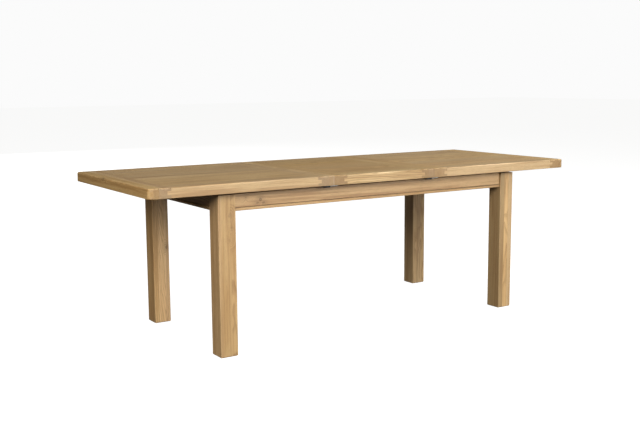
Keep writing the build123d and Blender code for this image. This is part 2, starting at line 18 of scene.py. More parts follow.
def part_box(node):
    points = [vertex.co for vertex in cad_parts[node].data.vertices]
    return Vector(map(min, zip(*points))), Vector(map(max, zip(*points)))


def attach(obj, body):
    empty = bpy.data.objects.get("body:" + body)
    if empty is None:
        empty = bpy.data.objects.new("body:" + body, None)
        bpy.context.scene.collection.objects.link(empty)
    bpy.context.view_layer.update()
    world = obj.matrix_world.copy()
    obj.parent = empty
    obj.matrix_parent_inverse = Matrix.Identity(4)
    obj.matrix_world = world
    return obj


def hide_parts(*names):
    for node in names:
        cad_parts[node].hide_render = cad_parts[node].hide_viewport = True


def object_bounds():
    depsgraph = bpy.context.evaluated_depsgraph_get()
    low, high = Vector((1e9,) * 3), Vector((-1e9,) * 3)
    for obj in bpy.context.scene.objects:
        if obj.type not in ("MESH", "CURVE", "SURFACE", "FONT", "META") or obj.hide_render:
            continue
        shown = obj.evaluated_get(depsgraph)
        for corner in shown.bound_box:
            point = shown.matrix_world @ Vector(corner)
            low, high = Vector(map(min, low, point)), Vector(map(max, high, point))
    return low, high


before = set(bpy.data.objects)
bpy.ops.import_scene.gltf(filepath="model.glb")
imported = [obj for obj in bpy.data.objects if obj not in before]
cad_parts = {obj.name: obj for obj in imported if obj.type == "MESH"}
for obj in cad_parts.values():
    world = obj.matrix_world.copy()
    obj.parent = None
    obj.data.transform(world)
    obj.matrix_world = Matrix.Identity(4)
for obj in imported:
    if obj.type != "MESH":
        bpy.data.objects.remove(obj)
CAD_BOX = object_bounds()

log = logging.getLogger("table")

Socket = bpy.types.NodeSocket
Point = tuple[float, float, float]
MM = 0.001

# Sockets of Blender's Mix node when it mixes colours.
MIX_SHARE, MIX_FIRST, MIX_SECOND, MIX_RESULT = 0, 6, 7, 2


class Grain(Enum):
    """Which way the fibres of a piece run."""

    ALONG_X = 0
    ALONG_Y = 1
    ALONG_Z = 2

    @property
    def direction(self) -> Vector:
        """The unit vector along the fibres."""
        return Vector([float(axis == self.value) for axis in range(3)])

    @property
    def order(self) -> tuple[str, str, str]:
        """The object axes in the order along the grain, then the two across it."""
        return {0: ("X", "Y", "Z"), 1: ("Y", "X", "Z"), 2: ("Z", "X", "Y")}[self.value]


def linear(red: int, green: int, blue: int) -> tuple[float, float, float, float]:
    """A colour given as display values from 0 to 255, as the shader wants it.

    Args:
        red, green, blue: the display values.

    Returns:
        The linear colour with full opacity.
    """
    def straight(value: int) -> float:
        """One display value made linear."""
        share = value / 255
        return share / 12.92 if share <= 0.04045 else ((share + 0.055) / 1.055) ** 2.4

    return straight(red), straight(green), straight(blue), 1.0


# ---- Shaders ------------------------------------------------------------------------------


class ShaderSheet:
    """A material's node tree while it is being wired up."""

    def __init__(self, name: str) -> None:
        """Starts a material with nothing but its surface shader.

        Args:
            name: the material's name.
        """
        self.material = bpy.data.materials.new(name)
        self.material.use_nodes = True
        self.tree = self.material.node_tree
        self.surface = self.tree.nodes["Principled BSDF"]

    def add(self, kind: str, **settings: object) -> bpy.types.Node:
        """Adds a node and sets its properties."""
        node = self.tree.nodes.new(kind)
        for key, value in settings.items():
            setattr(node, key, value)
        return node

    def feed(self, socket: Socket, value: object) -> None:
        """Wires a socket into another, or sets its plain value."""
        if isinstance(value, bpy.types.NodeSocket):
            self.tree.links.new(value, socket)
        else:
            socket.default_value = value

    def number(self, operation: str, first: object, second: object = 0.0) -> Socket:
        """A math node's result."""
        node = self.add("ShaderNodeMath", operation=operation)
        self.feed(node.inputs[0], first)
        self.feed(node.inputs[1], second)
        return node.outputs[0]

    def arrow(self, operation: str, first: object, second: object) -> Socket:
        """A vector math node's vector result."""
        node = self.add("ShaderNodeVectorMath", operation=operation)
        self.feed(node.inputs[0], first)
        self.feed(node.inputs[1], second)
        return node.outputs[0]

    def length(self, vector: Socket) -> Socket:
        """The length of a vector."""
        node = self.add("ShaderNodeVectorMath", operation="LENGTH")
        self.feed(node.inputs[0], vector)
        return node.outputs["Value"]

    def split(self, vector: Socket) -> bpy.types.NodeOutputs:
        """The three parts of a vector, by axis."""
        node = self.add("ShaderNodeSeparateXYZ")
        self.feed(node.inputs[0], vector)
        return node.outputs

    def noise(self, where: Socket, scale: Point, detail: float, roughness: float) -> Socket:
        """A noise value, scaled along each axis on its own."""
        stretched = self.arrow("MULTIPLY", where, scale)
        node = self.add("ShaderNodeTexNoise")
        self.feed(node.inputs["Vector"], stretched)
        node.inputs["Scale"].default_value = 1.0
        node.inputs["Detail"].default_value = detail
        node.inputs["Roughness"].default_value = roughness
        return node.outputs["Fac"]

    def spread(self, value: Socket, low: float, high: float, to_low: float = 0.0,
               to_high: float = 1.0) -> Socket:
        """A value eased from one range to another and held at its ends."""
        node = self.add("ShaderNodeMapRange", interpolation_type="SMOOTHSTEP")
        for index, amount in enumerate((value, low, high, to_low, to_high)):
            self.feed(node.inputs[index], amount)
        return node.outputs[0]

    def mix(self, amount: object, first: object, second: object) -> Socket:
        """Two colours mixed."""
        node = self.add("ShaderNodeMix", data_type="RGBA")
        self.feed(node.inputs[MIX_SHARE], amount)
        self.feed(node.inputs[MIX_FIRST], first)
        self.feed(node.inputs[MIX_SECOND], second)
        return node.outputs[MIX_RESULT]

    def attribute(self, name: str) -> bpy.types.Node:
        """The node that reads one of a mesh's own attributes."""
        return self.add("ShaderNodeAttribute", attribute_name=name)

    def place(self) -> Socket:
        """The place on the piece, in metres."""
        return self.add("ShaderNodeTexCoord").outputs["Object"]

    def bump(self, height: Socket, depth: float) -> None:
        """Raises the surface by a height field of a given depth in metres."""
        node = self.add("ShaderNodeBump")
        node.inputs["Strength"].default_value = 1.0
        node.inputs["Distance"].default_value = depth
        self.feed(node.inputs["Height"], height)
        self.feed(self.surface.inputs["Normal"], node.outputs["Normal"])


@dataclass(frozen=True)
class Knot:
    """A knot in a board: its middle and its half sizes along X, Y and Z, in metres."""

    middle: Point
    reach: Point
    depth: float = 1.0


@dataclass(frozen=True)
class WoodFinish:
    """Timber under a satin lacquer.

    Colours are linear. ring_width is the spacing of the growth rings in metres, and the
    contrasts are from 0, even, to 1, strong. relief is the depth of the surface in metres,
    and the pores, rings and knots sink by their own shares of it.
    """

    name: str
    pale: tuple[float, float, float, float]
    body: tuple[float, float, float, float]
    dark: tuple[float, float, float, float]
    end: tuple[float, float, float, float]
    ring_width: float = 3.2 * MM
    ring_contrast: float = 0.24
    streak_contrast: float = 0.5
    vein: float = 0.25
    pore_strength: float = 0.5
    end_share: float = 0.75
    roughness: float = 0.46
    lacquer: float = 0.15
    specular: float = 0.4
    lacquer_roughness: float = 0.32
    pore_roughness: float = 0.18
    relief: float = 0.12 * MM
    pore_sink: float = 1.6
    ring_sink: float = 0.25
    knot_sink: float = 0.6

    def material(self, grain: Grain, knots: Sequence[Knot] = (), tag: str = "") -> bpy.types.Material:
        """Makes this timber's material for pieces whose fibres run one way.

        Args:
            grain: which way the fibres run.
            knots: the knots in the piece, if it has any.
            tag: a word added to the material's name.

        Returns:
            The material.
        """
        sheet = ShaderSheet("_".join(filter(None, (self.name, grain.name.lower(), tag))))
        here = sheet.place()
        seed = sheet.attribute("board").outputs["Vector"]
        parts = sheet.split(here)
        turned = sheet.add("ShaderNodeCombineXYZ")
        for socket, axis in zip(turned.inputs, grain.order):
            sheet.feed(socket, parts[axis])
        fibre = sheet.arrow("ADD", turned.outputs[0], seed)

        knot_mask, knot_push = self._knots(sheet, here, knots)
        rings = self._rings(sheet, fibre, seed, knot_push)
        streaks, fine = self._streaks(sheet, fibre)
        pores = self._pores(sheet, fibre, rings)
        colour = self._colour(sheet, rings, streaks, fine, pores, knot_mask)
        sheet.feed(sheet.surface.inputs["Base Color"], colour)

        gloss = sheet.spread(streaks, 0.2, 0.8, self.roughness - 0.05, self.roughness + 0.06)
        gloss = sheet.number("ADD", gloss, sheet.number("MULTIPLY", pores, self.pore_roughness))
        sheet.feed(sheet.surface.inputs["Roughness"], gloss)
        sheet.surface.inputs["Specular IOR Level"].default_value = self.specular
        sheet.surface.inputs["Coat Weight"].default_value = self.lacquer
        sheet.surface.inputs["Coat Roughness"].default_value = self.lacquer_roughness
        height = fine
        for sunk, share in ((pores, self.pore_sink), (rings, self.ring_sink),
                            (knot_mask, self.knot_sink)):
            height = sheet.number("SUBTRACT", height, sheet.number("MULTIPLY", sunk, share))
        sheet.bump(height, self.relief)
        return sheet.material

    def _knots(self, sheet: ShaderSheet, here: Socket,
               knots: Sequence[Knot]) -> tuple[object, object]:
        """Where knots darken the wood, and how far they push the rings aside.

        Returns:
            The darkening from 0 to 1, and the push in metres.
        """
        mask: object = 0.0
        push: object = 0.0
        for knot in knots:
            away = sheet.arrow("SUBTRACT", here, knot.middle)
            wander = sheet.noise(here, (70.0, 70.0, 70.0), 3.0, 0.6)
            distance = sheet.number("ADD", sheet.length(sheet.arrow("DIVIDE", away, knot.reach)),
                                    sheet.number("MULTIPLY", wander, 0.9))
            core = sheet.spread(distance, 0.75, 1.35, knot.depth, 0.0)
            ring = sheet.spread(sheet.number("SINE", sheet.number("MULTIPLY", distance, 9.0)),
                                -1.0, 1.0, 0.65, 1.0)
            halo = sheet.spread(distance, 1.0, 3.2, 0.3 * knot.depth, 0.0)
            mask = sheet.number("MAXIMUM", mask,
                                sheet.number("MAXIMUM", sheet.number("MULTIPLY", core, ring), halo))
            push = sheet.number("ADD", push, sheet.spread(distance, 0.4, 4.0, 14 * MM, 0.0))
        return mask, push

    def _rings(self, sheet: ShaderSheet, fibre: Socket, seed: Socket, push: object) -> Socket:
        """The growth rings: 0 in late wood, rising to 1 at the open early wood."""
        lean = sheet.add("ShaderNodeTexWhiteNoise", noise_dimensions="3D")
        sheet.feed(lean.inputs["Vector"], seed)
        tilt = sheet.arrow("SUBTRACT", lean.outputs["Color"], (0.5, 0.5, 0.5))
        distance = sheet.split(fibre)["X"]
        climb = sheet.arrow("MULTIPLY", tilt, (0.0, 0.05, 0.05))
        along = sheet.add("ShaderNodeCombineXYZ")
        for socket in along.inputs:
            sheet.feed(socket, distance)
        leaned = sheet.arrow("ADD", fibre, sheet.arrow("MULTIPLY", along.outputs[0], climb))
        wave = sheet.noise(fibre, (2.2, 9.0, 9.0), 2.0, 0.5)
        ripple = sheet.noise(fibre, (14.0, 60.0, 60.0), 2.0, 0.5)
        radius = sheet.length(sheet.arrow("MULTIPLY", leaned, (0.0, 1.0, 1.0)))
        reach = sheet.number("ADD", radius, sheet.number("MULTIPLY", wave, 34 * MM))
        reach = sheet.number("ADD", reach, sheet.number("MULTIPLY", ripple, 2.6 * MM))
        reach = sheet.number("ADD", reach, push)
        turn = sheet.number("FRACT", sheet.number("DIVIDE", reach, self.ring_width))
        rise = sheet.spread(turn, 0.25, 0.88)
        fall = sheet.spread(turn, 0.88, 1.0, 1.0, 0.0)
        return sheet.number("MULTIPLY", rise, fall)

    def _streaks(self, sheet: ShaderSheet, fibre: Socket) -> tuple[Socket, Socket]:
        """Broad streaks along the grain, and the fine fibre that shows close to."""
        broad = sheet.noise(fibre, (1.1, 34.0, 34.0), 3.0, 0.55)
        narrow = sheet.noise(fibre, (3.0, 110.0, 110.0), 2.0, 0.6)
        fine = sheet.noise(fibre, (22.0, 1300.0, 1300.0), 2.0, 0.6)
        streaks = sheet.number("ADD", sheet.number("MULTIPLY", broad, 0.55),
                               sheet.number("MULTIPLY", narrow, 0.45))
        return sheet.spread(streaks, 0.36, 0.64), fine

    def _pores(self, sheet: ShaderSheet, fibre: Socket, rings: Socket) -> Socket:
        """Short open pores, crowded into the early wood."""
        grains = sheet.noise(fibre, (38.0, 1900.0, 1900.0), 1.0, 0.5)
        openness = sheet.spread(rings, 0.1, 0.9, 0.16, 1.0)
        return sheet.number("MULTIPLY", sheet.spread(grains, 0.54, 0.68), openness)

    def _colour(self, sheet: ShaderSheet, rings: Socket, streaks: Socket, fine: Socket,
                pores: Socket, knot_mask: object) -> Socket:
        """The timber's colour, from its growth rings to the tone of each board."""
        half = self.streak_contrast / 2
        share = sheet.spread(streaks, 0.0, 1.0, 0.5 - half, 0.5 + half)
        colour = sheet.mix(share, self.body, self.pale)
        colour = sheet.mix(sheet.spread(streaks, 0.0, 0.5, self.vein, 0.0), colour, self.dark)
        colour = sheet.mix(sheet.number("MULTIPLY", rings, self.ring_contrast), colour, self.dark)
        colour = sheet.mix(sheet.spread(fine, 0.3, 0.7, 0.10, 0.0), colour, self.dark)
        colour = sheet.mix(sheet.number("MULTIPLY", pores, self.pore_strength), colour,
                           tuple(0.45 * part for part in self.dark[:3]) + (1.0,))
        end = sheet.number("MULTIPLY", sheet.attribute("end_grain").outputs["Fac"], self.end_share)
        colour = sheet.mix(end, colour, sheet.mix(sheet.number("MULTIPLY", rings, 0.8), self.end,
                                                  tuple(0.6 * part for part in self.end[:3]) + (1.0,)))
        colour = sheet.mix(knot_mask, colour, linear(84, 58, 38))
        # The tone attribute holds each board's own tone, and also painted light and shade: the paler
        # arrises, the darker quirks and the lighter and darker leg staves.
        tone = sheet.split(sheet.attribute("tone").outputs["Vector"])
        shade = sheet.add("ShaderNodeHueSaturation")
        sheet.feed(shade.inputs["Color"], colour)
        for label, axis, neutral in (("Hue", "X", 0.5), ("Saturation", "Y", 1.0), ("Value", "Z", 1.0)):
            sheet.feed(shade.inputs[label], sheet.number("ADD", tone[axis], neutral))
        return shade.outputs["Color"]


@dataclass(frozen=True)
class MetalFinish:
    """Plated or painted metal, with a faint mottle and fine scratches."""

    name: str
    bright: tuple[float, float, float, float]
    dull: tuple[float, float, float, float]
    roughness: float
    metallic: float = 1.0

    def material(self) -> bpy.types.Material:
        """Makes the metal's material."""
        sheet = ShaderSheet(self.name)
        here = sheet.place()
        mottle = sheet.noise(here, (160.0, 160.0, 160.0), 4.0, 0.6)
        brushed = sheet.noise(here, (300.0, 4000.0, 4000.0), 2.0, 0.6)
        wear_and_highlight = sheet.spread(mottle, 0.35, 0.7)
        sheet.feed(sheet.surface.inputs["Base Color"], sheet.mix(wear_and_highlight, self.bright, self.dull))
        sheet.feed(sheet.surface.inputs["Roughness"],
                   sheet.number("ADD", sheet.number("MULTIPLY", wear_and_highlight, 0.16), self.roughness))
        sheet.surface.inputs["Metallic"].default_value = self.metallic
        sheet.bump(brushed, 0.02 * MM)
        return sheet.material


@dataclass(frozen=True)
class PlasticFinish:
    """Moulded plastic with a fine eggshell surface."""

    name: str
    light: tuple[float, float, float, float]
    shade: tuple[float, float, float, float]
    roughness: float

    def material(self) -> bpy.types.Material:
        """Makes the plastic's material."""
        sheet = ShaderSheet(self.name)
        here = sheet.place()
        cloud = sheet.noise(here, (60.0, 60.0, 60.0), 3.0, 0.5)
        shell = sheet.noise(here, (2400.0, 2400.0, 2400.0), 2.0, 0.5)
        share = sheet.spread(cloud, 0.3, 0.7)
        sheet.feed(sheet.surface.inputs["Base Color"], sheet.mix(share, self.light, self.shade))
        sheet.feed(sheet.surface.inputs["Roughness"],
                   sheet.number("ADD", sheet.number("MULTIPLY", share, 0.1), self.roughness))
        sheet.bump(shell, 0.03 * MM)
        return sheet.material


TOP_OAK = WoodFinish(
    name="top_oak",
    pale=linear(220, 189, 140),
    body=linear(198, 162, 113),
    dark=linear(152, 112, 72),
    end=linear(160, 129, 93),
    ring_width=4.0 * MM,
    ring_contrast=0.4,
    streak_contrast=0.9,
    vein=0.3,
)
APRON_OAK = WoodFinish(
    name="apron_oak",
    pale=linear(224, 188, 138),
    body=linear(200, 161, 112),
    dark=linear(154, 111, 70),
    end=linear(168, 130, 88),
    ring_width=4.0 * MM,
    ring_contrast=0.42,
    streak_contrast=0.85,
    vein=0.32,
)
LEG_OAK = WoodFinish(
    name="leg_oak",
    pale=linear(216, 184, 135),
    body=linear(196, 158, 110),
    dark=linear(148, 108, 69),
    end=linear(160, 122, 82),
    ring_width=3.6 * MM,
    ring_contrast=0.36,
    streak_contrast=0.75,
    vein=0.2,
)
BEECH = WoodFinish(
    name="waxed_beech",
    pale=linear(214, 178, 134),
    body=linear(198, 158, 114),
    dark=linear(168, 124, 84),
    end=linear(176, 136, 96),
    ring_width=3.0 * MM,
    ring_contrast=0.22,
    streak_contrast=0.35,
    pore_strength=0.2,
    roughness=0.5,
    lacquer=0.0,
)
SOFTWOOD = WoodFinish(
    name="planed_softwood",
    pale=linear(222, 192, 144),
    body=linear(206, 170, 120),
    dark=linear(170, 126, 78),
    end=linear(180, 142, 98),
    ring_width=5.0 * MM,
    ring_contrast=0.5,
    pore_strength=0.05,
    roughness=0.6,
    lacquer=0.0,
)
ZINC = MetalFinish("zinc_plate", linear(196, 190, 172), linear(150, 146, 134), 0.32)
CLIP_STEEL = MetalFinish("clip_steel", linear(186, 186, 184), linear(128, 128, 128), 0.30)
AXLE_STEEL = MetalFinish("turned_steel", linear(190, 190, 192), linear(148, 148, 150), 0.22)
# Black paint on the clip sockets; its darkness partly stands in for painted shade in the gap under the
# top.
BLACK_PAINT_AND_SHADE = MetalFinish("black_paint", linear(26, 25, 24), linear(40, 38, 36), 0.42, 0.0)
ACETAL = PlasticFinish("moulded_acetal", linear(226, 224, 214), linear(212, 209, 198), 0.38)
GLIDE_PLASTIC = PlasticFinish("glide_plastic", linear(92, 70, 50), linear(76, 57, 41), 0.5)


# ---- Mesh work ----------------------------------------------------------------------------


class Joiner:
    """A bench for making boards: each board is a closed skin in one shared mesh.

    Rounded arrises are painted a little paler than the faces, as a painted highlight.
    The tree's heart lies a little aside of each board and above or below it, in metres.
    """

    # How much paler the arrises are painted: a painted highlight.
    arris_highlight: float = 0.10
    highlight_squareness: float = 0.97
    flat_squareness: float = 0.9995
    heart_aside: float = 0.10
    heart_below: tuple[float, float] = (0.05, 0.25)
    figure_reach: tuple[float, float] = (2, 40)
    saturation_spread: float = 0.06

    def __init__(self, name: str, grain: Grain, seed: int) -> None:
        """Clears the bench for a new piece.

        Args:
            name: the piece's name.
            grain: which way its fibres run.
            seed: fixes the choice of each board's figure and tone.
        """
        self.name = name
        self.grain = grain
        self.dice = random.Random(seed)
        self.mesh = bmesh.new()
        layers = self.mesh.faces.layers
        self.board_layer = layers.float_vector.new("board")
        self.tone_and_painted_light_layer = layers.float_vector.new("tone")
        self.end_layer = layers.float.new("end_grain")

    def board(self, rings: Sequence[Sequence[Vector]], tone: float = 0.05,
              warmth: float = 0.0, tint: Point = (0.0, 0.0, 0.0)) -> None:
        """Skins a board over rings of points and gives it a figure and tone of its own.

        Args:
            rings: closed outlines with the same number of points, from one end to the other.
            tone: how far the board may be lighter or darker than the rest.
            warmth: how much redder the board is than the rest.
            tint: how far its hue, saturation and lightness are from the rest.
        """
        rows = [[self.mesh.verts.new(point) for point in ring] for ring in rings]
        count = len(rows[0])
        faces = [self.mesh.faces.new(list(reversed(rows[0]))), self.mesh.faces.new(rows[-1])]
        for below, above in zip(rows, rows[1:]):
            for here in range(count):
                after = (here + 1) % count
                corners = [below[here], below[after], above[after], above[here]]
                faces.append(self.mesh.faces.new(corners))
        bmesh.ops.recalc_face_normals(self.mesh, faces=faces)
        points = [point for ring in rings for point in ring]
        middle = sum(points, Vector()) / len(points)
        aside = self.dice.uniform(-self.heart_aside, self.heart_aside)
        below = self.dice.choice((-1, 1)) * self.dice.uniform(*self.heart_below)
        across, deep = ("XYZ".index(axis) for axis in self.grain.order[1:])
        start = self.dice.uniform(*self.figure_reach)
        figure = Vector((start, aside - middle[across], below - middle[deep]))
        richness = self.dice.uniform(-self.saturation_spread, self.saturation_spread)
        shade = Vector((-0.006 * warmth, richness + 0.04 * warmth,
                        self.dice.uniform(-tone, tone))) + Vector(tint)
        # The painted highlight: faces on a rounded arris are paler and a little greyer.
        wear_and_highlight = shade + Vector((0.0, -0.03, self.arris_highlight))
        direction = self.grain.direction
        for face in faces:
            face.normal_update()
            squareness = max(abs(part) for part in face.normal)
            face[self.board_layer] = figure
            face[self.tone_and_painted_light_layer] = wear_and_highlight if squareness < self.highlight_squareness else shade
            facing = abs(face.normal.dot(direction))
            face[self.end_layer] = min(1.0, max(0.0, (facing - 0.5) * 2.5))
            face.smooth = squareness < self.flat_squareness

    def dull(self, low: float, high: float, amount: float) -> None:
        """Darkens the faces between two heights, as painted shade in a recess.

        Args:
            low: the lower height.
            high: the upper height.
            amount: how much darker they get.
        """
        for face in self.mesh.faces:
            if low < face.calc_center_median().z < high:
                face[self.tone_and_painted_light_layer] = face[self.tone_and_painted_light_layer] - Vector((0.0, 0.0, amount))

    def finish(self, material: bpy.types.Material) -> bpy.types.Object:
        """Turns the boards into one finished piece.

        Args:
            material: what the piece is made of.

        Returns:
            The piece, at the origin, with its place in its mesh.
        """
        data = bpy.data.meshes.new(self.name)
        self.mesh.to_mesh(data)
        self.mesh.free()
        data.materials.append(material)
        piece = bpy.data.objects.new(self.name, data)
        bpy.context.scene.collection.objects.link(piece)
        return piece


def arc(start: float, sweep: float, steps: int) -> list[tuple[float, float]]:
    """Directions along an arc.

    Args:
        start: the first angle in degrees.
        sweep: how far it turns, in degrees.
        steps: how many pieces it is cut into.

    Returns:
        The cosine and sine at each step.
    """
    angles = [math.radians(start + sweep * step / steps) for step in range(steps + 1)]
    return [(math.cos(angle), math.sin(angle)) for angle in angles]


def place_piece(piece: bpy.types.Object, body: str, slot: str, *nodes: str) -> bpy.types.Object:
    """Hangs a piece on its body, in place of its frame nodes.

    Args:
        piece: the finished piece.
        body: the frame body it moves with.
        slot: the record's material slot; not used.
        nodes: the frame nodes it stands for.

    Returns:
        The piece.
    """
    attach(piece, body)
    if nodes:
        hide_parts(*nodes)
    log.info("%-24s on %-11s %6d faces", piece.name, body, len(piece.data.polygons))
    return piece


def node_solids(node: str) -> list[tuple[Vector, Vector]]:
    """The box of each separate solid in a frame node, in order along X and then Y."""
    mesh = bmesh.new()
    mesh.from_mesh(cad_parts[node].data)
    bmesh.ops.remove_doubles(mesh, verts=mesh.verts, dist=1e-6)
    seen: set[bmesh.types.BMVert] = set()
    boxes = []
    for start in mesh.verts:
        if start in seen:
            continue
        group, queue = [], [start]
        seen.add(start)
        while queue:
            vert = queue.pop()
            group.append(vert.co.copy())
            for edge in vert.link_edges:
                other = edge.other_vert(vert)
                if other not in seen:
                    seen.add(other)
                    queue.append(other)
        boxes.append((Vector(map(min, zip(*group))), Vector(map(max, zip(*group)))))
    mesh.free()
    return sorted(boxes, key=lambda box: (round(box[0].x, 4), round(box[0].y, 4)))


# ---- The top ------------------------------------------------------------------------------


@dataclass
class TopSection:
    """A half top or the leaf: lengthwise boards tongued into a cross board at each end."""

    body: str
    boards_node: str
    rail_nodes: tuple[str, str]
    seed: int
    warmth: float = 0.0
    outer_staves: tuple[float, float] = (42 * MM, 42 * MM)
    outer_tints: tuple[Point, Point] = ((0.0, 0.0, 0.0), (0.0, 0.0, 0.0))
    tint: Point = (0.0, 0.0, 0.0)
    front_tint: Point = (0.0, 0.0, 0.0)
    arris: float = 7 * MM
    under_arris: float = 2 * MM
    seam_arris: float = 1 * MM
    joint_arris: float = 0.3 * MM
    corner: float = 20 * MM
    tongue: float = 16 * MM
    groove_depth: float = 18 * MM
    widths: tuple[float, ...] = (1.1, 0.85, 1.0, 1.2, 0.8, 1.05, 0.9, 1.15, 0.95)
    arris_steps: int = 8
    under_arris_steps: int = 3
    corner_steps: int = 6
    fit_gap: float = 0.2 * MM

    def __post_init__(self) -> None:
        """Reads the section's place from the frame."""
        low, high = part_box(self.rail_nodes[0])
        self.front, self.back = low.y, high.y
        self.bottom, self.top = low.z, high.z
        self.middle = (self.bottom + self.top) / 2

    def build(self, long_oak: bpy.types.Material, cross_oak: bpy.types.Material,
              knotty: dict[str, bpy.types.Material]) -> None:
        """Makes the boards and both cross boards.

        Args:
            long_oak: oak with its fibres along the table.
            cross_oak: oak with its fibres across the table.
            knotty: materials for cross boards that have a knot, by node.
        """
        for number, node in enumerate(self.rail_nodes):
            place_piece(self.cross_board(node, number).finish(knotty.get(node, cross_oak)),
                        self.body, "oak_cross_boards", node)
        place_piece(self.long_boards().finish(long_oak), self.body, "oak_boards", self.boards_node)

    def _side_profile(self) -> list[tuple[float, float]]:
        """How far the long sides stand in at each height, from the underside to the top."""
        soft = [(self.under_arris * (1 - c), self.under_arris * (1 - s))
                for c, s in reversed(arc(0, 90, self.under_arris_steps))]
        levels = [(inset, self.bottom + rise) for inset, rise in soft]
        round_over = [(self.arris * (1 - c), self.top - self.arris * (1 - s))
                      for c, s in arc(0, 90, self.arris_steps)]
        return levels + round_over

    def cross_board(self, node: str, number: int) -> Joiner:
        """A cross board of two staves, grooved where it meets the lengthwise boards.

        Args:
            node: the frame node it stands for.
            number: 0 for the left-hand one, 1 for the right-hand one.

        Returns:
            The cross board on its bench.
        """
        low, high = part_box(node)
        outward = -1 if number == 0 else 1
        inner = high.x if number == 0 else low.x
        outer = low.x if number == 0 else high.x
        seam = outer + outward * -self.outer_staves[number]
        at_seam = abs(outer) < abs(CAD_BOX[1].x) - 0.05
        half_tongue = self.tongue / 2
        levels = [(inset, height, 0.0) for inset, height in self._side_profile()]
        groove = [(0.0, self.middle + side * half_tongue, depth) for side, depth in
                  ((-1, 0.0), (-1, self.groove_depth), (1, self.groove_depth), (1, 0.0))]
        lower = [level for level in levels if level[1] < self.middle]
        upper = [level for level in levels if level[1] > self.middle]
        inner_rings, outer_rings = [], []
        for inset, height, step in lower + groove + upper:
            front, back = self.front + inset, self.back - inset
            near_top = max(0.0, height - (self.top - self.joint_arris))
            inner_x = inner + outward * (step + near_top)
            inner_rings.append([Vector((x, y, height)) for x, y in (
                (inner_x, front), (seam, front), (seam, back), (inner_x, back))])
            outer_rings.append([Vector((x, y, height)) for x, y in (
                (seam, front), *self._outer_corners(outer, outward, inset, height, at_seam),
                (seam, back))])
        bench = Joiner(f"{node}_oak", Grain.ALONG_Y, self.seed + 17 * number)
        bench.board(inner_rings, tone=0.04, warmth=self.warmth, tint=self.tint)
        bench.board(outer_rings, tone=0.02, warmth=self.warmth, tint=self.outer_tints[number])
        return bench

    def _outer_corners(self, outer: float, outward: int, inset: float, height: float,
                       at_seam: bool) -> list[tuple[float, float]]:
        """The outer edge of a cross board at one height, from front to back."""
        front, back = self.front + inset, self.back - inset
        if at_seam:
            drop = max(0.0, height - (self.top - self.seam_arris))
            edge = outer - outward * drop
            return [(edge, front), (edge, back)]
        radius = self.corner
        small = radius - inset
        middle_x = outer - outward * radius
        turn = arc(0, 90, self.corner_steps)
        near = [(middle_x + outward * small * s, self.front + radius - small * c) for c, s in turn]
        far = [(middle_x + outward * small * c, self.back - radius + small * s) for c, s in turn]
        return near + far

    def long_boards(self) -> Joiner:
        """The lengthwise boards, with a tongue at both ends, glued edge to edge."""
        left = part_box(self.rail_nodes[0])[1].x
        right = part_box(self.rail_nodes[1])[0].x
        reach = self.groove_depth - self.fit_gap
        bench = Joiner(f"{self.boards_node}_oak", Grain.ALONG_X, self.seed)
        order = list(self.widths)
        bench.dice.shuffle(order)
        scale = (self.back - self.front) / sum(order)
        near = self.front
        for number, width in enumerate(order):
            far = near + width * scale
            outline = self._board_outline(near, far, number == 0, number == len(order) - 1)
            half = self.tongue / 2
            thin = [(y, min(max(z, self.middle - half), self.middle + half)) for y, z in outline]
            stops = [(left - reach, thin), (left, thin), (left, outline),
                     (right, outline), (right, thin), (right + reach, thin)]
            rings = [[Vector((x, y, z)) for y, z in ring] for x, ring in stops]
            tint = self.front_tint if number == 0 else self.tint
            bench.board(rings, tone=0.045, warmth=self.warmth + bench.dice.uniform(-0.3, 0.3), tint=tint)
            near = far
        return bench

    def _board_outline(self, near: float, far: float, first: bool,
                       last: bool) -> list[tuple[float, float]]:
        """A board's section, rounded where it makes the table's long edge."""
        side = self._side_profile()
        front = [(near + inset, height) for inset, height in side] if first else [
            (near, self.bottom), (near, self.top)]
        back = [(far - inset, height) for inset, height in side] if last else [
            (far, self.bottom), (far, self.top)]
        return front + back[::-1]


# ---- The underframe -----------------------------------------------------------------------


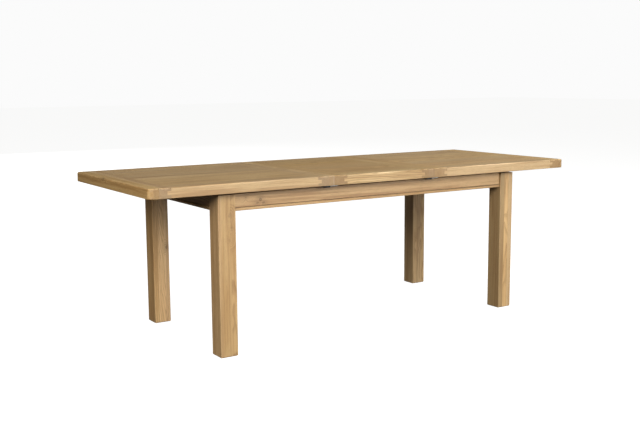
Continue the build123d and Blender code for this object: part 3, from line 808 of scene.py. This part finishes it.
@dataclass
class Leg:
    """A square leg, glued up from three staves, with eased arrises and a chamfered foot."""

    node: str
    seed: int
    shares: tuple[float, float, float]
    # How much lighter each stave is painted, as painted light and shade on that leg.
    painted_light_lifts: tuple[float, float, float] = (0.0, 0.0, 0.0)
    ease: float = 2.0 * MM
    ease_steps: int = 4
    foot: float = 3.0 * MM
    crown: float = 0.5 * MM

    def build(self, oak: bpy.types.Material) -> bpy.types.Object:
        """Makes the leg.

        Args:
            oak: oak with its fibres upright.

        Returns:
            The leg.
        """
        low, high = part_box(self.node)
        bench = Joiner(f"{self.node}_oak", Grain.ALONG_Z, self.seed)
        start, width = low.x, high.x - low.x
        for number, share in enumerate(self.shares):
            stop = start + share * width
            rings = []
            heights = [(low.z, self.foot), (low.z + self.foot, 0.0), (high.z - self.crown, 0.0),
                       (high.z, self.crown)]
            for height, inset in heights:
                outline = self._outline(start, stop, low.y, high.y, number, inset)
                rings.append([Vector((x, y, height)) for x, y in outline])
            # The stave's lift adds painted light and shade to its tone.
            bench.board(rings, tone=0.04, tint=(0.0, 0.0, self.painted_light_lifts[number]))
            start = stop
        return place_piece(bench.finish(oak), "underframe", "oak_legs", self.node)

    def _outline(self, x_low: float, x_high: float, y_low: float, y_high: float, number: int,
                 inset: float) -> list[tuple[float, float]]:
        """A stave's outline: its outer corners are eased, its glued faces are flat."""
        first, last = number == 0, number == len(self.shares) - 1
        left = x_low + (inset if first else 0.0)
        right = x_high - (inset if last else 0.0)
        front, back = y_low + inset, y_high - inset
        radius = self.ease
        points: list[tuple[float, float]] = []
        for x, y, x_way, y_way, start, eased in (
            (left, front, 1, 1, 180, first), (right, front, -1, 1, 270, last),
            (right, back, -1, -1, 0, last), (left, back, 1, -1, 90, first),
        ):
            if eased:
                points += [(x + radius * (x_way + c), y + radius * (y_way + s))
                           for c, s in arc(start, 90, self.ease_steps)]
            else:
                points.append((x, y))
        return points


class SectionSweep:
    """Sweeps a section along an underframe piece.

    A section's points are distances in from the piece's outer face, with their heights.
    """

    def __init__(self, node: str, grain: Grain) -> None:
        """Reads the piece's place from the frame.

        Args:
            node: the frame node.
            grain: the way the piece runs.
        """
        self.low, self.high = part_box(node)
        self.across = 1 if grain is Grain.ALONG_X else 0
        self.along = 1 - self.across
        self.outward = 1 if self.low[self.across] > 0 else -1
        self.face = (self.high if self.outward > 0 else self.low)[self.across]
        self.thickness = self.high[self.across] - self.low[self.across]

    def rings(self, section: Sequence[tuple[float, float]],
              stops: Sequence[float]) -> list[list[Vector]]:
        """The section's outline at each stop along the piece.

        Args:
            section: the section's points, in order.
            stops: places along the piece, from one end to the other.

        Returns:
            One ring of points for each stop.
        """
        rings = []
        for stop in stops:
            ring = []
            for inward, height in section:
                point = Vector((0, 0, height))
                point[self.across], point[self.along] = self.face - self.outward * inward, stop
                ring.append(point)
            rings.append(ring)
        return rings


@dataclass
class Apron:
    """An apron with a quirk above its bead, and a stub tenon at each end."""

    node: str
    grain: Grain
    seed: int
    bead: float = 12 * MM
    bead_in: float = 8 * MM
    quirk: float = 4 * MM
    quirk_depth: float = 6 * MM
    # How much darker the quirk is painted: painted shade in the groove.
    quirk_painted_shade: float = 0.45
    ease: float = 0.8 * MM
    tenon_thickness: float = 12 * MM
    tenon_length: float = 25 * MM
    tenon_inset: float = 10 * MM
    tenon_rise: float = 20 * MM

    def build(self, oak: bpy.types.Material) -> bpy.types.Object:
        """Makes the apron.

        Args:
            oak: oak with its fibres along the apron.

        Returns:
            The apron.
        """
        sweep = SectionSweep(self.node, self.grain)
        low, high, thickness = sweep.low, sweep.high, sweep.thickness
        starts, stops = low[sweep.along], high[sweep.along]
        ends = starts + self.tenon_length, stops - self.tenon_length
        above = low.z + self.bead
        section = [
            (thickness, low.z), (self.bead_in, low.z), (self.bead_in, above),
            (self.quirk_depth, above), (self.quirk_depth, above + self.quirk),
            (self.ease, above + self.quirk), (0.0, above + self.quirk + self.ease),
            (0.0, high.z - self.ease), (self.ease, high.z), (thickness, high.z),
        ]
        bench = Joiner(f"{self.node}_oak", self.grain, self.seed)
        bench.board(sweep.rings(section, ends), tone=0.03)
        # Painted shade: the faces in and around the quirk are darkened where the groove lies in shade.
        bench.dull(above - self.ease, above + self.quirk + self.ease / 2, self.quirk_painted_shade)
        near, far = thickness / 2 - self.tenon_thickness / 2, thickness / 2 + self.tenon_thickness / 2
        foot, head = low.z + self.tenon_rise, high.z - self.tenon_inset
        tenon = [(near, foot), (far, foot), (far, head), (near, head)]
        for inner, outer in ((ends[0], starts), (ends[1], stops)):
            bench.board(sweep.rings(tenon, (inner, outer)), tone=0.03)
        return place_piece(bench.finish(oak), "underframe", "oak_aprons", self.node)


@dataclass
class Bead:
    """The small rounded moulding along the foot of an apron."""

    node: str
    grain: Grain
    seed: int
    round_over: float = 3 * MM
    round_steps: int = 5

    def build(self, oak: bpy.types.Material) -> bpy.types.Object:
        """Makes the bead.

        Args:
            oak: oak with its fibres along the bead.

        Returns:
            The bead.
        """
        sweep = SectionSweep(self.node, self.grain)
        low, high = sweep.low, sweep.high
        radius = self.round_over
        turn = arc(0, 90, self.round_steps)
        section = [(sweep.thickness, low.z)]
        section += [(radius * (1 - s), low.z + radius * (1 - c)) for c, s in turn]
        section += [(radius * (1 - c), high.z - radius * (1 - s)) for c, s in turn]
        section.append((sweep.thickness, high.z))
        bench = Joiner(f"{self.node}_oak", self.grain, self.seed)
        bench.board(sweep.rings(section, (low[sweep.along], high[sweep.along])), tone=0.02)
        return place_piece(bench.finish(oak), "underframe", "oak_aprons", self.node)


# ---- Fasteners ----------------------------------------------------------------------------


class ScrewMaker:
    """A Geometry Nodes tree that sets a cross-recessed wood screw at every point.

    Its proportions are shares of the shank's radius.
    """

    head_share: float = 1.98
    tip_share: float = 0.2
    recess_length: float = 2.1
    recess_width: float = 0.42
    recess_depth: float = 1.1
    sides: int = 20
    spin_seed: int = 5

    def __init__(self, material: bpy.types.Material) -> None:
        """Builds the tree.

        Args:
            material: what the screws are made of.
        """
        self.tree = bpy.data.node_groups.new("wood_screws", "GeometryNodeTree")
        face = self.tree.interface
        face.new_socket("Points", in_out="INPUT", socket_type="NodeSocketGeometry")
        for label in ("Shank Radius", "Length"):
            face.new_socket(label, in_out="INPUT", socket_type="NodeSocketFloat")
        face.new_socket("Finish", in_out="INPUT", socket_type="NodeSocketMaterial")
        face.new_socket("Screws", in_out="OUTPUT", socket_type="NodeSocketGeometry")
        self.material = material
        self._wire()

    def _add(self, kind: str, **settings: object) -> bpy.types.Node:
        """Adds a node to the tree."""
        node = self.tree.nodes.new(kind)
        for key, value in settings.items():
            setattr(node, key, value)
        return node

    def _link(self, source: Socket, target: Socket) -> None:
        """Wires two sockets together."""
        self.tree.links.new(source, target)

    def _times(self, value: Socket, factor: float) -> Socket:
        """A size multiplied by a plain number."""
        node = self._add("ShaderNodeMath", operation="MULTIPLY")
        self._link(value, node.inputs[0])
        node.inputs[1].default_value = factor
        return node.outputs[0]

    def _less(self, value: Socket, other: Socket) -> Socket:
        """One size less another."""
        node = self._add("ShaderNodeMath", operation="SUBTRACT")
        self._link(value, node.inputs[0])
        self._link(other, node.inputs[1])
        return node.outputs[0]

    def _cone(self, foot: Socket, top: Socket, height: Socket, lift: Socket | None) -> Socket:
        """A cone frustum standing on the screw's axis, lifted to its place."""
        cone = self._add("GeometryNodeMeshCone", fill_type="NGON")
        cone.inputs["Vertices"].default_value = self.sides
        self._link(foot, cone.inputs["Radius Bottom"])
        self._link(top, cone.inputs["Radius Top"])
        self._link(height, cone.inputs["Depth"])
        if lift is None:
            return cone.outputs["Mesh"]
        vector = self._add("ShaderNodeCombineXYZ")
        self._link(lift, vector.inputs["Z"])
        move = self._add("GeometryNodeTransform")
        self._link(cone.outputs["Mesh"], move.inputs["Geometry"])
        self._link(vector.outputs[0], move.inputs["Translation"])
        return move.outputs["Geometry"]

    def _wire(self) -> None:
        """Lays out head, shank, tip and recess, and sets a screw at each point."""
        given = self._add("NodeGroupInput").outputs
        shank, length = given["Shank Radius"], given["Length"]
        straight = self._less(length, shank)
        head = self._cone(self._times(shank, self.head_share), shank, shank, None)
        stem = self._cone(shank, shank, self._less(straight, shank), shank)
        tip = self._cone(shank, self._times(shank, self.tip_share), shank, straight)

        cut = self._add("GeometryNodeMeshBoolean", operation="DIFFERENCE")
        self._link(head, cut.inputs["Mesh 1"])
        for wide, deep in ((self.recess_length, self.recess_width),
                           (self.recess_width, self.recess_length)):
            size = self._add("ShaderNodeCombineXYZ")
            for socket, share in zip(size.inputs, (wide, deep, self.recess_depth)):
                self._link(self._times(shank, share), socket)
            cube = self._add("GeometryNodeMeshCube")
            self._link(size.outputs[0], cube.inputs["Size"])
            self._link(cube.outputs["Mesh"], cut.inputs["Mesh 2"])

        whole = self._add("GeometryNodeJoinGeometry")
        for part in (cut.outputs["Mesh"], stem, tip):
            self._link(part, whole.inputs["Geometry"])
        spot = self._add("GeometryNodeInstanceOnPoints")
        self._link(given["Points"], spot.inputs["Points"])
        self._link(whole.outputs["Geometry"], spot.inputs["Instance"])
        turn = self._add("FunctionNodeRandomValue", data_type="FLOAT")
        turn.inputs[2].default_value, turn.inputs[3].default_value = 0.0, math.pi
        turn.inputs["Seed"].default_value = self.spin_seed
        spin = self._add("ShaderNodeCombineXYZ")
        self._link(turn.outputs[1], spin.inputs["Z"])
        self._link(spin.outputs[0], spot.inputs["Rotation"])
        real = self._add("GeometryNodeRealizeInstances")
        self._link(spot.outputs["Instances"], real.inputs["Geometry"])
        dress = self._add("GeometryNodeSetMaterial")
        self._link(real.outputs["Geometry"], dress.inputs["Geometry"])
        self._link(given["Finish"], dress.inputs["Material"])
        out = self._add("NodeGroupOutput")
        self._link(dress.outputs["Geometry"], out.inputs["Screws"])

    def build(self, node: str, body: str) -> bpy.types.Object:
        """Makes the screws that a frame node holds.

        Args:
            node: the frame node, whose solids give each screw's place and size.
            body: the frame body they move with.

        Returns:
            The screws, as one plain mesh.
        """
        solids = node_solids(node)
        low, high = solids[0]
        radius, length = (high.x - low.x) / 4, high.z - low.z
        data = bpy.data.meshes.new(f"{node}_points")
        spots = [((a.x + b.x) / 2, (a.y + b.y) / 2, a.z) for a, b in solids]
        data.from_pydata(spots, [], [])
        carrier = bpy.data.objects.new(f"{node}_points", data)
        bpy.context.scene.collection.objects.link(carrier)
        modifier = carrier.modifiers.new("screws", "NODES")
        modifier.node_group = self.tree
        names = {item.name: item.identifier for item in self.tree.interface.items_tree
                 if item.in_out == "INPUT"}
        modifier[names["Shank Radius"]] = radius
        modifier[names["Length"]] = length
        modifier[names["Finish"]] = self.material
        graph = bpy.context.evaluated_depsgraph_get()
        mesh = bpy.data.meshes.new_from_object(carrier.evaluated_get(graph))
        mesh.name = f"{node}_zinc"
        bpy.data.objects.remove(carrier)
        piece = bpy.data.objects.new(f"{node}_zinc", mesh)
        bpy.context.scene.collection.objects.link(piece)
        return place_piece(piece, body, "zinc_fastener", node)


# ---- Frame nodes that keep their own shape ------------------------------------------------


@dataclass
class KeptNodes:
    """Frame nodes whose shape is already right, and that only need their finish."""

    finish: bpy.types.Material
    nodes: tuple[str, ...]

    def dress(self) -> None:
        """Gives each node its finish."""
        for node in self.nodes:
            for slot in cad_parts[node].material_slots:
                slot.link = "OBJECT"
                slot.material = self.finish
            log.info("%-24s keeps its shape, in %s", node, self.finish.name)


# ---- Studio -------------------------------------------------------------------------------


@dataclass(frozen=True)
class Softbox:
    """A large soft light, placed by how it is seen from the middle of the table.

    Turn is in degrees from straight in front, positive to the left; rise is in degrees
    above the level; size is width and height in metres; power is in watts; the distance
    is from the point it is aimed at. A light that isn't mirrored leaves no glare on lacquer.
    """

    name: str
    turn: float
    rise: float
    size: tuple[float, float]
    power: float
    tint: Point = (1.0, 1.0, 1.0)
    distance: float = 6.0
    aim: Point = (0.0, 0.0, 0.5)
    mirrored: bool = True

    def build(self) -> None:
        """Hangs the light."""
        turn, rise = math.radians(self.turn), math.radians(self.rise)
        away = Vector((-math.sin(turn) * math.cos(rise), -math.cos(turn) * math.cos(rise),
                       math.sin(rise)))
        lamp = bpy.data.lights.new(self.name, "AREA")
        lamp.shape = "RECTANGLE"
        lamp.size, lamp.size_y = self.size
        lamp.energy = self.power
        lamp.color = self.tint
        holder = bpy.data.objects.new(self.name, lamp)
        holder.location = Vector(self.aim) + self.distance * away
        holder.rotation_euler = away.to_track_quat("Z", "Y").to_euler()
        holder.visible_camera = False
        holder.visible_glossy = self.mirrored
        bpy.context.scene.collection.objects.link(holder)


@dataclass
class Studio:
    """A pale floor, soft lights and the camera."""

    lens: float = 52.85
    eye: Point = (-2.6697, -4.0107, 1.2183)
    heading: float = 32.823
    dip: float = 8.145
    roll: float = -0.368
    sensor: float = 36.0
    floor_reach: float = 40.0
    floor_glow: float = 0.92
    air_light: tuple[float, float] = (0.035, 0.065)
    air_shade: float = 0.965
    softboxes: tuple[Softbox, ...] = (
        Softbox("right_softbox", -60.0, 50.0, (2.4, 2.0), 192.0, (0.94, 0.985, 1.0)),
        Softbox("front_softbox", -25.0, 13.0, (4.4, 3.4), 206.0, (1.0, 0.98, 0.94)),
        Softbox("near_left_softbox", 35.0, 25.0, (2.6, 2.2), 176.0, (0.97, 0.99, 1.0)),
        Softbox("left_softbox", 64.0, 25.0, (2.0, 1.6), 54.0, (1.0, 0.88, 0.70), 4.0,
                (-0.8, -0.4, 0.45)),
        Softbox("back_softbox", 178.0, 5.0, (3.0, 1.8), 600.0, distance=12.0, mirrored=False),
    )

    def build(self) -> None:
        """Sets up floor, light and camera."""
        self._floor()
        self._world()
        for softbox in self.softboxes:
            softbox.build()
        self._camera()

    def _floor(self) -> None:
        """A wide pale floor with a barely seen mottle, which throws no light on the table."""
        bench = bmesh.new()
        bmesh.ops.create_grid(bench, x_segments=8, y_segments=8, size=self.floor_reach)
        data = bpy.data.meshes.new("studio_floor")
        bench.to_mesh(data)
        bench.free()
        sheet = ShaderSheet("studio_paper")
        cloud = sheet.noise(sheet.place(), (0.7, 0.7, 0.7), 2.0, 0.5)
        paper = sheet.mix(cloud, linear(172, 172, 171), linear(176, 176, 175))
        sheet.feed(sheet.surface.inputs["Base Color"], paper)
        sheet.surface.inputs["Roughness"].default_value = 0.95
        sheet.surface.inputs["Specular IOR Level"].default_value = 0.0
        sheet.surface.inputs["Emission Color"].default_value = (1.0, 1.0, 0.995, 1.0)
        sheet.surface.inputs["Emission Strength"].default_value = self.floor_glow
        data.materials.append(sheet.material)
        floor = bpy.data.objects.new("studio_floor", data)
        floor.visible_diffuse = False
        floor.visible_glossy = False
        bpy.context.scene.collection.objects.link(floor)

    def _world(self) -> None:
        """Pale air behind the table, which gives only a little light from above."""
        world = bpy.data.worlds.new("studio_air")
        world.use_nodes = True
        tree = world.node_tree
        dim = tree.nodes["Background"]
        dim.inputs["Color"].default_value = (1.0, 1.0, 1.0, 1.0)
        up = tree.nodes.new("ShaderNodeMapRange")
        split = tree.nodes.new("ShaderNodeSeparateXYZ")
        tree.links.new(tree.nodes.new("ShaderNodeTexCoord").outputs["Generated"], split.inputs[0])
        tree.links.new(split.outputs["Z"], up.inputs["Value"])
        for socket, amount in zip(up.inputs[1:5], (-1.0, 1.0, *self.air_light)):
            socket.default_value = amount
        tree.links.new(up.outputs[0], dim.inputs["Strength"])
        pale = tree.nodes.new("ShaderNodeBackground")
        pale.inputs["Color"].default_value = (*[self.air_shade] * 3, 1.0)
        choose = tree.nodes.new("ShaderNodeMixShader")
        path = tree.nodes.new("ShaderNodeLightPath")
        tree.links.new(path.outputs["Is Camera Ray"], choose.inputs[0])
        tree.links.new(dim.outputs[0], choose.inputs[1])
        tree.links.new(pale.outputs[0], choose.inputs[2])
        tree.links.new(choose.outputs[0], tree.nodes["World Output"].inputs["Surface"])
        bpy.context.scene.world = world

    def _camera(self) -> None:
        """The camera, level but for a slight roll."""
        heading, dip, roll = map(math.radians, (self.heading, self.dip, self.roll))
        ahead = Vector((math.sin(heading) * math.cos(dip), math.cos(heading) * math.cos(dip),
                        -math.sin(dip)))
        right = ahead.cross(Vector((0, 0, 1))).normalized()
        upward = right.cross(ahead)
        right, upward = (right * math.cos(roll) + upward * math.sin(roll),
                         upward * math.cos(roll) - right * math.sin(roll))
        lens = bpy.data.cameras.new("studio_camera")
        lens.lens = self.lens
        lens.sensor_width = self.sensor
        lens.clip_end = 200.0
        camera = bpy.data.objects.new("studio_camera", lens)
        turn = Matrix((right, upward, -ahead)).transposed().to_4x4()
        camera.matrix_world = Matrix.Translation(self.eye) @ turn
        bpy.context.scene.collection.objects.link(camera)
        bpy.context.scene.camera = camera


# ---- The whole table ----------------------------------------------------------------------


def build_top() -> None:
    """Makes the three sections of the top."""
    long_oak = TOP_OAK.material(Grain.ALONG_X)
    cross_oak = TOP_OAK.material(Grain.ALONG_Y)
    end_knot = TOP_OAK.material(
        Grain.ALONG_Y, (Knot((-1.198, 0.08, 0.779), (0.007, 0.022, 0.007), 0.8),), "knot")
    sections = (
        TopSection("left_top", "left_boards", ("left_end_rail", "left_seam_rail"), 11, -0.1,
                   outer_staves=(46 * MM, 22 * MM), front_tint=(0.0, -0.03, -0.06),
                   outer_tints=((0.0, 0.14, -0.03), (0.0, -0.05, 0.05))),
        TopSection("leaf", "leaf_boards", ("leaf_left_rail", "leaf_right_rail"), 23, 0.1,
                   outer_staves=(8 * MM, 38 * MM), tint=(0.0, 0.05, -0.04),
                   front_tint=(0.002, -0.05, 0.06),
                   outer_tints=((0.0, -0.05, 0.06), (0.0, 0.05, -0.04))),
        TopSection("right_top", "right_boards", ("right_seam_rail", "right_end_rail"), 37, 0.1,
                   tint=(0.0, 0.0, 0.07), front_tint=(0.0, 0.0, -0.02)),
    )
    for section in sections:
        section.build(long_oak, cross_oak, {"left_end_rail": end_knot})


def build_underframe() -> None:
    """Makes the legs, aprons and beads."""
    upright = LEG_OAK.material(Grain.ALONG_Z)
    lengthwise = APRON_OAK.material(Grain.ALONG_X)
    crosswise = APRON_OAK.material(Grain.ALONG_Y)
    front_leg_oak = LEG_OAK.material(Grain.ALONG_Z, (
        Knot((-0.812, -0.4075, 0.634), (0.012, 0.03, 0.018), 0.32),
        Knot((-0.804, -0.4075, 0.578), (0.010, 0.03, 0.012), 0.28),
        Knot((-0.815, -0.4075, 0.525), (0.010, 0.03, 0.012), 0.22)), "front_knots")
    back_leg_oak = LEG_OAK.material(Grain.ALONG_Z, (
        Knot((-0.796, 0.3225, 0.386), (0.008, 0.02, 0.014), 0.75),), "back_knot")
    apron_oak = APRON_OAK.material(Grain.ALONG_X, (
        Knot((-0.652, -0.3965, 0.692), (0.013, 0.03, 0.012), 0.75),
        Knot((-0.668, -0.3965, 0.678), (0.013, 0.03, 0.008), 0.6),
        Knot((-0.636, -0.3965, 0.677), (0.013, 0.03, 0.008), 0.6),
        Knot((-0.725, -0.3965, 0.706), (0.008, 0.03, 0.008), 0.4)), "knots")
    # The last numbers are painted light and shade: the front left leg's left side lighter, the front
    # right leg's left side darker, the back left leg lighter, the back right leg darker.
    Leg("leg_front_left", 101, (0.18, 0.50, 0.32), (0.08, 0.0, 0.0)).build(front_leg_oak)
    Leg("leg_front_right", 102, (0.34, 0.34, 0.32), (-0.25, 0.08, 0.08)).build(upright)
    Leg("leg_back_left", 103, (0.30, 0.42, 0.28), (0.04, 0.16, 0.16)).build(back_leg_oak)
    Leg("leg_back_right", 104, (0.36, 0.30, 0.34), (-0.12, -0.12, -0.12)).build(upright)
    Apron("apron_front", Grain.ALONG_X, 201).build(apron_oak)
    Apron("apron_back", Grain.ALONG_X, 202).build(lengthwise)
    Apron("apron_left", Grain.ALONG_Y, 203).build(crosswise)
    Apron("apron_right", Grain.ALONG_Y, 204).build(crosswise)
    Bead("bead_front", Grain.ALONG_X, 211).build(lengthwise)
    Bead("bead_back", Grain.ALONG_X, 212).build(lengthwise)
    Bead("bead_left", Grain.ALONG_Y, 213).build(crosswise)
    Bead("bead_right", Grain.ALONG_Y, 214).build(crosswise)


def build_fasteners() -> None:
    """Makes every group of screws."""
    maker = ScrewMaker(ZINC.material())
    maker.build("frame_screws", "underframe")
    for side in ("left", "right"):
        for kind in ("runner_screws", "rack_screws", "clip_screws"):
            maker.build(f"{side}_{kind}", f"{side}_top")
    maker.build("leaf_clip_screws", "leaf")


def dress_kept_nodes() -> None:
    """Finishes the frame nodes whose shape stays."""
    both = ("left", "right")
    runners = tuple(f"{side}_runner_{end}" for side in both for end in ("front", "back"))
    KeptNodes(BEECH.material(Grain.ALONG_X),
              runners + ("guide_bar_front", "guide_bar_back", "leaf_pegs")).dress()
    KeptNodes(BEECH.material(Grain.ALONG_Z), tuple(f"{side}_stop_pegs" for side in both)).dress()
    KeptNodes(SOFTWOOD.material(Grain.ALONG_Y),
              ("cross_rail_left", "cross_rail_centre", "cross_rail_right")).dress()
    KeptNodes(SOFTWOOD.material(Grain.ALONG_X),
              ("corner_blocks", "rack_keepers", "left_rack_block", "right_rack_block")).dress()
    KeptNodes(ZINC.material(), ("corner_bolts", "corner_nuts", "corner_washers")).dress()
    KeptNodes(CLIP_STEEL.material(), ("left_fork", "right_fork", "leaf_forks")).dress()
    # The sockets' black partly stands in for painted shade under the top's front edge.
    KeptNodes(BLACK_PAINT_AND_SHADE.material(), ("left_socket", "right_socket", "leaf_sockets")).dress()
    KeptNodes(AXLE_STEEL.material(), ("pinion_axle", "axle_ring")).dress()
    KeptNodes(ACETAL.material(), ("pinion", "left_rack", "right_rack")).dress()
    KeptNodes(GLIDE_PLASTIC.material(), ("glides",)).dress()


def main() -> None:
    """Builds the table, its studio and its camera."""
    logging.basicConfig(level=logging.INFO, format="%(message)s")
    bpy.context.scene.view_settings.view_transform = "Standard"
    build_top()
    build_underframe()
    build_fasteners()
    dress_kept_nodes()
    Studio().build()


if __name__ == "__main__":
    main()
